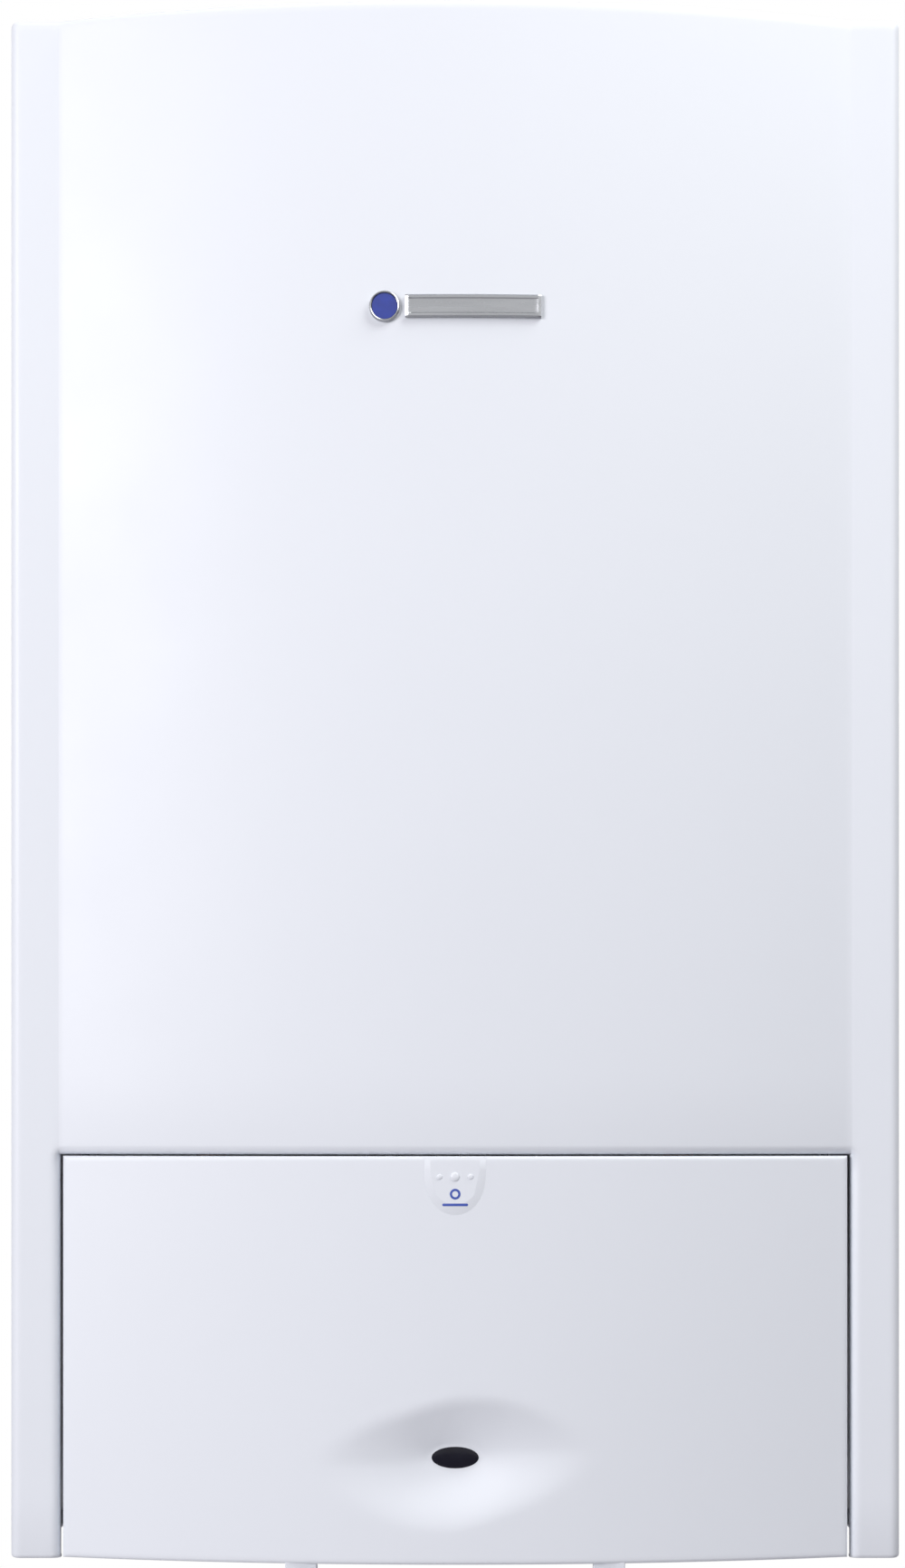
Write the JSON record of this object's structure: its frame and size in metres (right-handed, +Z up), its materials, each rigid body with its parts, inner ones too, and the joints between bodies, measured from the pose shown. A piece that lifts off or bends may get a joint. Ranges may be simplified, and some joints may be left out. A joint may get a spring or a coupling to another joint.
{
  "type": "wall-hung condensing gas boiler",
  "caption": "Wall-hung gas boiler with a bowed white case, a drop-down control flap with a shallow dish, and its full inner workings.",
  "frame": {"origin": "middle of the wall bracket's line of screw holes, on the wall plane", "axes": "+Z up, -Y out of the wall towards the user, +X to the right seen from the front"},
  "size_m": [0.44, 0.3625, 0.828],
  "materials": {
    "white_paint": "satin powder coat",
    "white_plastic": "satin moulded",
    "black_plastic": "fine grain",
    "grey_plastic": "fine grain",
    "knob_plastic": "satin",
    "dark_lens": "polished",
    "clear_plastic": "polished",
    "badge_chrome": "satin chrome",
    "badge_blue": "enamel",
    "zinc_steel": "zinc plated",
    "cast_aluminium": "as cast",
    "brass": "machined",
    "copper": "drawn tube",
    "rubber": "matt",
    "foam": "closed-cell",
    "vessel_paint": "stoved enamel",
    "red_plastic": "moulded",
    "green_board": "lacquered board",
    "ceramic": "glazed"
  },
  "bodies": {
    "chassis": {"wall_bracket": "zinc_steel", "wall_buffers": "rubber", "back_frame": "zinc_steel", "top_plate": "zinc_steel", "connection_plate": "zinc_steel", "case_seal": "foam", "heat_exchanger": "cast_aluminium", "exchanger_cover": "cast_aluminium", "burner_door": "cast_aluminium", "burner": "zinc_steel", "electrodes": "ceramic", "sump": "black_plastic", "flue_duct": "grey_plastic", "flue_adapter": "white_plastic", "fan_housing": "cast_aluminium", "fan_motor": "black_plastic", "gas_air_mixer": "cast_aluminium", "air_intake_pipe": "black_plastic", "gas_valve": "cast_aluminium", "gas_pipes": "brass", "condensate_trap": "clear_plastic", "condensate_hose": "grey_plastic", "expansion_vessel": "vessel_paint", "vessel_hose": "rubber", "pump_body": "cast_aluminium", "pump_motor": "black_plastic", "water_block": "brass", "diverter_motor": "black_plastic", "plate_exchanger": "zinc_steel", "water_pipes": "copper", "isolation_valves": "brass"},
    "case": {"front_case": "white_paint", "case_screws": "zinc_steel", "badge_bar": "badge_chrome", "badge_disc": "badge_blue"},
    "flap": {"flap": "white_plastic", "push_pad": "white_plastic", "indicator_lens": "dark_lens", "flap_striker": "zinc_steel"},
    "control_unit": {"control_box": "black_plastic", "facia": "grey_plastic", "circuit_board": "green_board", "display_window": "dark_lens", "light_pipe": "clear_plastic", "pressure_gauge": "white_plastic", "hinge_pins": "zinc_steel"},
    "heating_knob": {"heating_knob": "knob_plastic"},
    "hot_water_knob": {"hot_water_knob": "knob_plastic"},
    "rocker_switch": {"rocker_switch": "white_plastic"},
    "reset_button": {"reset_button": "knob_plastic"},
    "eco_button": {"eco_button": "knob_plastic"},
    "gauge_needle": {"gauge_needle": "black_plastic"},
    "latch_plunger": {"latch_plunger": "clear_plastic"},
    "fan_impeller": {"fan_impeller": "cast_aluminium"},
    "pump_impeller": {"pump_impeller": "clear_plastic"},
    "diverter_stem": {"diverter_stem": "zinc_steel"},
    "safety_valve_cap": {"safety_valve_cap": "red_plastic"},
    "lever_flow": {"lever_flow": "red_plastic"},
    "lever_return": {"lever_return": "red_plastic"},
    "lever_gas": {"lever_gas": "red_plastic"}
  },
  "joints": [
    {"name": "case_lift_off", "type": "slide", "parent": "chassis", "child": "case", "axis": [0, -1, 0], "range_m": [0, 0.42]},
    {"name": "control_swing", "type": "hinge", "parent": "chassis", "child": "control_unit", "pos_m": [0, -0.305, -0.686], "axis": [1, 0, 0], "range_deg": [0, 60]},
    {"name": "flap_hinge", "type": "hinge", "parent": "control_unit", "child": "flap", "pos_m": [0, -0.3505, -0.7036], "axis": [1, 0, 0], "range_deg": [0, 95]},
    {"name": "heating_knob_turn", "type": "hinge", "parent": "control_unit", "child": "heating_knob", "pos_m": [-0.112, -0.315, -0.595], "axis": [0, -1, 0], "range_deg": [0, 280]},
    {"name": "hot_water_knob_turn", "type": "hinge", "parent": "control_unit", "child": "hot_water_knob", "pos_m": [-0.048, -0.315, -0.595], "axis": [0, -1, 0], "range_deg": [0, 280]},
    {"name": "rocker_tilt", "type": "hinge", "parent": "control_unit", "child": "rocker_switch", "pos_m": [-0.165, -0.31, -0.595], "axis": [1, 0, 0], "range_deg": [-10, 10]},
    {"name": "reset_press", "type": "slide", "parent": "control_unit", "child": "reset_button", "axis": [0, 1, 0], "range_m": [0, 0.0015], "stiffness_N_per_m": 300},
    {"name": "eco_press", "type": "slide", "parent": "control_unit", "child": "eco_button", "axis": [0, 1, 0], "range_m": [0, 0.0015], "stiffness_N_per_m": 300},
    {"name": "gauge_needle_turn", "type": "hinge", "parent": "control_unit", "child": "gauge_needle", "pos_m": [0.14, -0.315, -0.595], "axis": [0, -1, 0], "range_deg": [-135, 135]},
    {"name": "latch_press", "type": "slide", "parent": "control_unit", "child": "latch_plunger", "axis": [0, 1, 0], "range_m": [0, 0.003], "stiffness_N_per_m": 300},
    {"name": "fan_spin", "type": "hinge", "parent": "chassis", "child": "fan_impeller", "pos_m": [-0.095, -0.2, -0.017], "axis": [0, 1, 0], "continuous": true},
    {"name": "pump_spin", "type": "hinge", "parent": "chassis", "child": "pump_impeller", "pos_m": [0.13, -0.06, -0.588], "axis": [0, 1, 0], "continuous": true},
    {"name": "diverter_travel", "type": "slide", "parent": "chassis", "child": "diverter_stem", "axis": [0, 0, 1], "range_m": [0, 0.006]},
    {"name": "safety_cap_turn", "type": "hinge", "parent": "chassis", "child": "safety_valve_cap", "pos_m": [-0.19, -0.0515, -0.615], "axis": [1, 0, 0], "range_deg": [0, 90]},
    {"name": "flow_lever_turn", "type": "hinge", "parent": "chassis", "child": "lever_flow", "pos_m": [-0.13, -0.066, -0.667], "axis": [0, 1, 0], "range_deg": [0, 90]},
    {"name": "return_lever_turn", "type": "hinge", "parent": "chassis", "child": "lever_return", "pos_m": [0.13, -0.066, -0.667], "axis": [0, 1, 0], "range_deg": [0, 90]},
    {"name": "gas_lever_turn", "type": "hinge", "parent": "chassis", "child": "lever_gas", "pos_m": [0, -0.066, -0.667], "axis": [0, 1, 0], "range_deg": [0, 90]}
  ]
}
